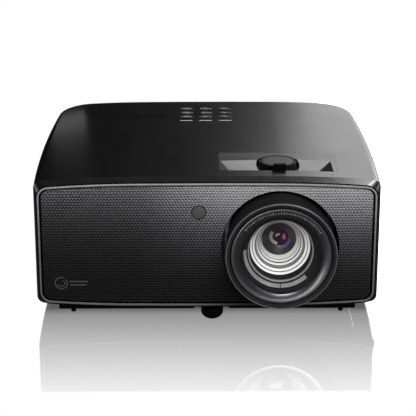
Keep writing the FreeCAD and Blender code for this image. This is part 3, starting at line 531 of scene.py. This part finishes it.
def scale_marks():
    """Plain printed marks round the top of the dark cone."""
    radius, before_face = 40.8, 23.95
    count, first, step = 33, 142, 3.4
    half_width, thickness = 0.2, 0.12
    cone_slope = 0.28
    built = bmesh.new()
    for i in range(count):
        a = radians(first - i * step)
        tall = (2.1 if i % 4 == 0 else 1.3) * MM
        along = Vector((cos(a), 0, sin(a)))
        across = Vector((-sin(a), 0, cos(a)))
        centre = Vector((lens_x, face_y - before_face * MM, lens_z)) + along * radius * MM
        corners = [centre + along * u * tall / 2 + across * v * half_width * MM
                   for u, v in ((-1, -1), (1, -1), (1, 1), (-1, 1))]
        lift = Vector((0, -thickness * MM, 0))
        near = [built.verts.new(c + lift + Vector((0, -(c - centre).dot(along) * cone_slope, 0)))
                for c in corners]
        far = [built.verts.new(c - lift * 3) for c in corners]
        shell(built, near, far)
    as_piece("scale_marks", built, "print_grey", "lens")


def inner_rings():
    """The stepped rings seen through the front lens, from the retainer to the stop."""
    outer = 37.8
    overlap = 0.05          # each ring starts a little before its bright face
    steps = (("retainer", "ring_black", (31.1, -11.4), (29.7, -10.2), -10.1),
             ("retainer_edge", "grey_step_and_painted_lit_lip", (29.6, -10.0), (28.5, -8.3), -8.3),
             ("ring_dark", "ring_black", (28.4, -8.2), (27.2, 1.1), 1.2),
             ("ring_one", "white_step", (27.0, 1.4), (25.5, 3.1), 3.1),
             ("ring_gap", "ring_black", (25.5, 3.2), (24.9, 3.8), 3.8),
             ("ring_two", "white_step", (24.9, 3.9), (23.1, 6.0), 6.0),
             ("ring_edge", "ring_black", (23.1, 6.1), (22.8, 6.5), 6.5),
             ("ring_three", "grey_step_and_painted_lit_lip", (22.8, 6.6), (21.5, 8.6), 8.6),
             ("ring_seam", "ring_black", (21.5, 8.7), (21.2, 9.2), 9.2),
             ("ring_shoulder", "white_step", (21.2, 9.3), (19.9, 11.4), 11.4),
             ("ring_line", "ring_black", (19.8, 11.5), (19.3, 12.6), 12.6),
             ("ring_four", "white_step", (19.3, 12.7), (18.0, 15.5), 15.5),
             ("ring_thin", "ring_black", (18.0, 15.6), (17.8, 16.2), 16.2),
             ("ring_five", "white_step", (17.8, 16.3), (15.9, 21.8), 22.2))
    for name, look, near, far, end in steps:
        start, end = near[1] - overlap, end + 0.02
        profile = [(outer, start), (near[0] + 0.1, start), near, far, (far[0], end), (outer, end)]
        piece = lathe(name, profile, look)
        if name == "retainer":
            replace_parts(piece, "baffle_rings")


def stop():
    """The dark lens at the stop, with the pupil as a dark disc of painted shade and coloured arcs inside as
    painted reflections.
    """
    cup = [(23.8, 22.35), (15.5, 22.35), (13.0, 24.6), (9.6, 27.2), (8.9, 27.6), (8.7, 29.8), (23.8, 29.8)]
    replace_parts(lathe("stop_cup", cup, "stop_glass"), "stop_glass")
    # A dark disc fills the pupil: painted shade deep in the lens.
    lathe("pupil", [(8.6, 29.2), (4.2, 28.9), (0.01, 28.8), (0.01, 29.7), (8.6, 29.7)], "pupil_painted_shade")
    # Gold, magenta and violet arcs: painted reflections of the lens coatings.
    lathe("pupil_reflection_crescent", [(8.5, 28.2), (7.9, 27.9), (5.6, 28.8), (5.6, 29.3), (8.5, 29.3)], "gold_painted_reflection",
          start=140.0, sweep=120.0)
    lathe("pupil_reflection_spot", [(6.6, 28.1), (3.6, 28.4), (3.6, 28.9), (6.6, 28.9)], "magenta_painted_reflection",
          start=-28.0, sweep=58.0)
    lathe("pupil_glint", [(11.4, 25.5), (9.4, 27.1), (9.4, 27.5), (11.4, 25.9)], "violet_painted_reflection",
          start=-70.0, sweep=62.0)
    lathe("pupil_inner_reflection", [(3.0, 28.5), (1.4, 28.4), (1.4, 28.9), (3.0, 28.9)], "gold_painted_reflection",
          start=60.0, sweep=120.0)


# --- printed and small things -------------------------------------------------------------------
def roof_level(x):
    """Height of the crowned roof at this x."""
    return roof_z - crown_drop(x)


def key_signs():
    """A generic raised sign on each key, riding on its key."""
    arrows = {2: -90, 4: 180, 6: 0, 8: 90}
    ring_key, power_key, dot_key = 5, 7, 1
    for number in range(1, 10):
        low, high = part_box("key_%d" % number)
        x, y = (low.x + high.x) / 2, (low.y + high.y) / 2
        top, base = high.z + 0.12 * MM, high.z - 0.1 * MM
        built = bmesh.new()
        if number in arrows:
            prism(built, polygon(x, y, 2.6 * MM, 3, radians(arrows[number])), base, top)
        elif number == ring_key:
            band(built, x, y, 2.5 * MM, 1.7 * MM, 0.0, 2 * pi, base, top)
        elif number == power_key:
            band(built, x, y, 2.6 * MM, 1.8 * MM, radians(125), radians(415), base, top)
            prism(built, oblong(x, y + 1.9 * MM, 0.4 * MM, 1.3 * MM), base, top)
        elif number == dot_key:
            band(built, x, y, 2.7 * MM, 2.0 * MM, 0.0, 2 * pi, base, top)
            prism(built, polygon(x, y, 1.0 * MM, 12), base, top)
        else:
            for step in (-1, 0, 1):
                prism(built, oblong(x, y + step * 1.7 * MM, 2.6 * MM, 0.45 * MM), base, top)
        as_piece("key_sign_%d" % number, built, "print_grey", "button_%d" % number)


def dial_edge():
    """The dark toothed edge on top of the shift dial."""
    low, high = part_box("shift_dial")
    centre = (low + high) / 2
    radius = (high.x - low.x) / 2
    base = high.z - 0.1 * MM
    teeth, tooth_at, tooth_radius = 24, radius - 2.0 * MM, 0.9 * MM
    built = bmesh.new()
    band(built, centre.x, centre.y, radius - 0.15 * MM, radius - 1.5 * MM, 0.0, 2 * pi, base,
         high.z + 0.12 * MM, count=64)
    for x, y in polygon(centre.x, centre.y, tooth_at, teeth):
        prism(built, polygon(x, y, tooth_radius, 10), base, high.z + 0.16 * MM)
    as_piece("dial_edge", built, "ring_black", "dial", weld=True)


def panel_mark():
    """A plain ring with two bars, low at the left of the panel."""
    x, z = -133.0 * MM, 40.5 * MM
    level = panel_low.y - 0.62 * MM
    deep = level + 0.3 * MM
    bar_start = -125.3
    built = bmesh.new()
    band(built, x, z, 6.0 * MM, 5.0 * MM, radians(60), radians(400), level, deep, up=False)
    band(built, x, z, 3.4 * MM, 2.6 * MM, radians(200), radians(420), level, deep, up=False)
    for drop, bar_end in ((1.5, -108.7), (-1.9, -110.5)):
        centre, half = (bar_start + bar_end) / 2 * MM, (bar_end - bar_start) / 2 * MM
        prism(built, oblong(centre, z + drop * MM, half, 0.55 * MM), level, deep, up=False)
    as_piece("panel_mark", built, "print_grey")


def roof_marks():
    """Two dots beside the middle keys, and a row of dots in front of the recess."""
    key_low, key_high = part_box("key_4")
    row = (key_low.y + key_high.y) / 2 + 1.7 * MM
    front = face_y + 17.6 * MM
    spots = [(side * 26.7 * MM, row, 0.55 * MM) for side in (-1, 1)]
    spots += [((102.0 + step * 3.4) * MM, front, 0.45 * MM) for step in range(5)]
    spots.append((112.2 * MM, front + 0.6 * MM, 0.9 * MM))
    built = bmesh.new()
    for x, y, radius in spots:
        top = roof_level(x) + 0.12 * MM
        prism(built, polygon(x, y, radius, 16), top - 0.3 * MM, top)
    as_piece("roof_marks", built, "print_grey")


def window_groove():
    """The dark joint round the receiver window."""
    built = bmesh.new()
    low = panel_low.y - 0.56 * MM
    band(built, window_x, window_z, window_radius + 0.45 * MM, window_radius - 0.25 * MM, 0.0, 2 * pi,
         low, low + 0.5 * MM, up=False, count=64)
    as_piece("window_groove", built, "socket_black", weld=True)


# --- stage --------------------------------------------------------------------------------------
def camera():
    """A long lens in front of the projector, a little above it and looking down."""
    data = bpy.data.cameras.new("camera")
    data.sensor_width = 36.0
    data.lens = 129.8
    data.clip_end = 20.0
    obj = bpy.data.objects.new("camera", data)
    obj.location = (-0.0091, face_y - 1.2703, 0.5538)
    obj.rotation_euler = (radians(90 - 19.15), 0.0, -0.0077)
    bpy.context.scene.collection.objects.link(obj)
    bpy.context.scene.camera = obj


def soft_light(name, place, aim, size, power):
    """A rectangular soft box."""
    data = bpy.data.lights.new(name, "AREA")
    data.shape = "RECTANGLE"
    data.size, data.size_y = size
    data.energy = power
    obj = bpy.data.objects.new(name, data)
    obj.location = place
    obj.rotation_euler = (Vector(aim) - Vector(place)).to_track_quat("-Z", "Y").to_euler()
    bpy.context.scene.collection.objects.link(obj)
    return obj


def sheet(name, corners, look):
    """A flat stage piece."""
    mesh = bpy.data.meshes.new(name)
    mesh.from_pydata(corners, [], [range(len(corners))])
    obj = bpy.data.objects.new(name, mesh)
    bpy.context.scene.collection.objects.link(obj)
    mesh.materials.append(look)
    obj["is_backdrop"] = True
    return obj


def mirror_floor():
    """A white floor that mirrors the projector, less and less towards the viewer."""
    material = bpy.data.materials.new("floor")
    material.use_nodes = True
    tree = material.node_tree
    tree.nodes.clear()
    place = tree.nodes.new("ShaderNodeTexCoord")
    split = tree.nodes.new("ShaderNodeSeparateXYZ")
    tree.links.new(place.outputs["Object"], split.inputs["Vector"])
    span = tree.nodes.new("ShaderNodeMapRange")
    span.inputs["From Min"].default_value = face_y - 0.142
    span.inputs["From Max"].default_value = face_y + 0.058
    tree.links.new(split.outputs["Y"], span.inputs["Value"])
    fade = tree.nodes.new("ShaderNodeValToRGB")
    stops = ((0.0, 0.0), (0.012, 0.15), (0.82, 0.70), (0.9, 0.9))
    while len(fade.color_ramp.elements) < len(stops):
        fade.color_ramp.elements.new(0.5)
    for element, (where, strength) in zip(fade.color_ramp.elements, stops):
        element.position = where
        element.color = (strength, strength, strength, 1)
    tree.links.new(span.outputs["Result"], fade.inputs["Fac"])
    white = tree.nodes.new("ShaderNodeEmission")
    mirror = tree.nodes.new("ShaderNodeBsdfAnisotropic")
    mirror.inputs["Roughness"].default_value = 0.05
    mirror.inputs["Color"].default_value = (1, 1, 1, 1)
    mix = tree.nodes.new("ShaderNodeMixShader")
    tree.links.new(fade.outputs["Color"], mix.inputs["Fac"])
    tree.links.new(white.outputs["Emission"], mix.inputs[1])
    tree.links.new(mirror.outputs["BSDF"], mix.inputs[2])
    leave = tree.nodes.new("ShaderNodeOutputMaterial")
    tree.links.new(mix.outputs["Shader"], leave.inputs["Surface"])
    return material


def stage():
    """White floor with a fading mirror image, and a white wall all round that lights the floor only."""
    ground = sheet("floor", [(-9, -9, 0), (9, -9, 0), (9, 9, 0), (-9, 9, 0)], mirror_floor())
    ground.visible_glossy = False
    ground.visible_diffuse = False

    glow = bpy.data.materials.new("wall")
    glow.use_nodes = True
    glow.node_tree.nodes.clear()
    lamp = glow.node_tree.nodes.new("ShaderNodeEmission")
    exit_node = glow.node_tree.nodes.new("ShaderNodeOutputMaterial")
    glow.node_tree.links.new(lamp.outputs["Emission"], exit_node.inputs["Surface"])
    wall_low, wall_high, wall_radius = -0.2, 6.0, 7.0
    built = bmesh.new()
    ring = polygon(0.0, 0.0, wall_radius, 32)
    for a, b in zip(ring, ring[1:] + ring[:1]):
        corners = ((a, wall_low), (b, wall_low), (b, wall_high), (a, wall_high))
        built.faces.new([built.verts.new((p[0], p[1], z)) for p, z in corners])
    wall = from_bmesh("wall", built)
    wall.data.materials.append(glow)
    wall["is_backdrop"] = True
    light_only(wall, [ground])

    world = bpy.data.worlds.new("world")
    world.use_nodes = True
    world.node_tree.nodes["Background"].inputs["Color"].default_value = (0.034, 0.034, 0.038, 1)
    bpy.context.scene.world = world


def light_only(light, objects):
    """Lets a light fall on these objects and no others."""
    lit_objects = bpy.data.collections.new("lit_by_" + light.name)
    for obj in objects:
        lit_objects.objects.link(obj)
    light.light_linking.receiver_collection = lit_objects


def room_lights():
    """Large soft boxes above, behind and beside the projector."""
    middle = (0, 0, 0.1)
    ceiling = soft_light("ceiling", (0.0, 0.3, 3.2), (0, 0, 0), (6.0, 6.0), 40.0)
    ceiling.visible_glossy = False
    soft_light("back_right", (1.28, 3.0, 1.1), middle, (2.0, 1.9), 24.0)
    soft_light("far_right", (2.15, 2.8, 1.1), middle, (1.4, 1.9), 50.0)
    soft_light("top_right", (0.95, 0.80, 1.5), middle, (0.8, 0.8), 8.0)
    soft_light("side_left", (-2.0, 0.3, 0.5), (-0.15, 0.1, 0.08), (0.9, 0.6), 5.0)
    soft_light("side_right", (2.0, 0.3, 0.5), (0.15, 0.1, 0.08), (0.9, 0.6), 5.0)
    soft_light("front_right", (0.7, -0.95, 1.0), (0.05, -0.12, 0.1), (0.8, 0.8), 6.0)
    rear = soft_light("rear", (-0.4, 2.4, 0.35), (0.0, 0.2, 0.06), (0.9, 0.4), 4.0)
    roof = (nodes["top_cover"], nodes["roof_insert"])
    light_only(rear, [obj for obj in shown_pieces() if obj not in roof])


def part_lights():
    """Lights that each fall on a few pieces, for the edges and the fade over the panel."""
    middle = (0, 0, 0.1)
    recess = soft_light("recess_top", (0.42, 0.80, 1.5), middle, (0.9, 0.8), 15.0)
    light_only(recess, [nodes["roof_insert"]])
    bezel = soft_light("bezel_top", (0.85, 0.80, 1.5), middle, (0.7, 0.8), 24.0)
    light_only(bezel, [nodes["front_bezel"]])
    shoulder = soft_light("shoulder", (-0.150, 0.15, 0.160), (-0.12, 0.02, 0.138), (0.04, 0.02), 0.0012)
    light_only(shoulder, [nodes["top_cover"]])

    glass_look = looks["lens_glass"]
    lens_parts = [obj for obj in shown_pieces() if body_of(obj) in (["lens"], ["focus"])
                  and obj.data.materials[0] != glass_look]
    lens = (lens_x, face_y, lens_z)
    above = soft_light("lens_top", (lens_x - 0.02, face_y - 0.70, 0.56), lens, (0.32, 0.2), 7.4)
    below = soft_light("lens_low", (lens_x - 0.06, face_y - 0.35, 0.03), lens, (0.2, 0.04), 0.5)
    light_only(above, lens_parts)
    light_only(below, lens_parts)

    strip_y, strip_z, strip_deep, edge_z = face_y - 0.06, 0.150, 0.02, 0.142
    strip_size = (0.36, strip_deep)
    trim = soft_light("strip_trim", (0.0, strip_y, strip_z), (0.0, face_y, edge_z), strip_size, 0.08)
    light_only(trim, [nodes["trim_ring"]])
    wide = soft_light("strip_wide", (0.0, strip_y, strip_z), (0.0, face_y, edge_z), strip_size, 0.17)
    right = soft_light("strip_right", (0.11, strip_y, strip_z), (0.11, face_y, edge_z),
                       (0.26, strip_deep), 0.55)
    fill = soft_light("front_fill", (0.25, -1.2, 0.45), (0, face_y, 0.07), (0.6, 0.6), 1.9)
    panel = [bpy.data.objects["panel_relief"], nodes["front_panel"], nodes["receiver_window"]]
    for light in (wide, right, fill):
        light_only(light, panel)
    for strip in (wide, right):
        strip.data.spread = radians(115)
    for near_light in (shoulder, trim, wide, right):
        near_light.visible_camera = False


panel_relief()
focus_grip()
front_rings()
scale_marks()
inner_rings()
stop()
key_signs()
panel_mark()
roof_marks()
dial_edge()
window_groove()
camera()
stage()
room_lights()
part_lights()
bpy.context.scene.view_settings.view_transform = "Standard"
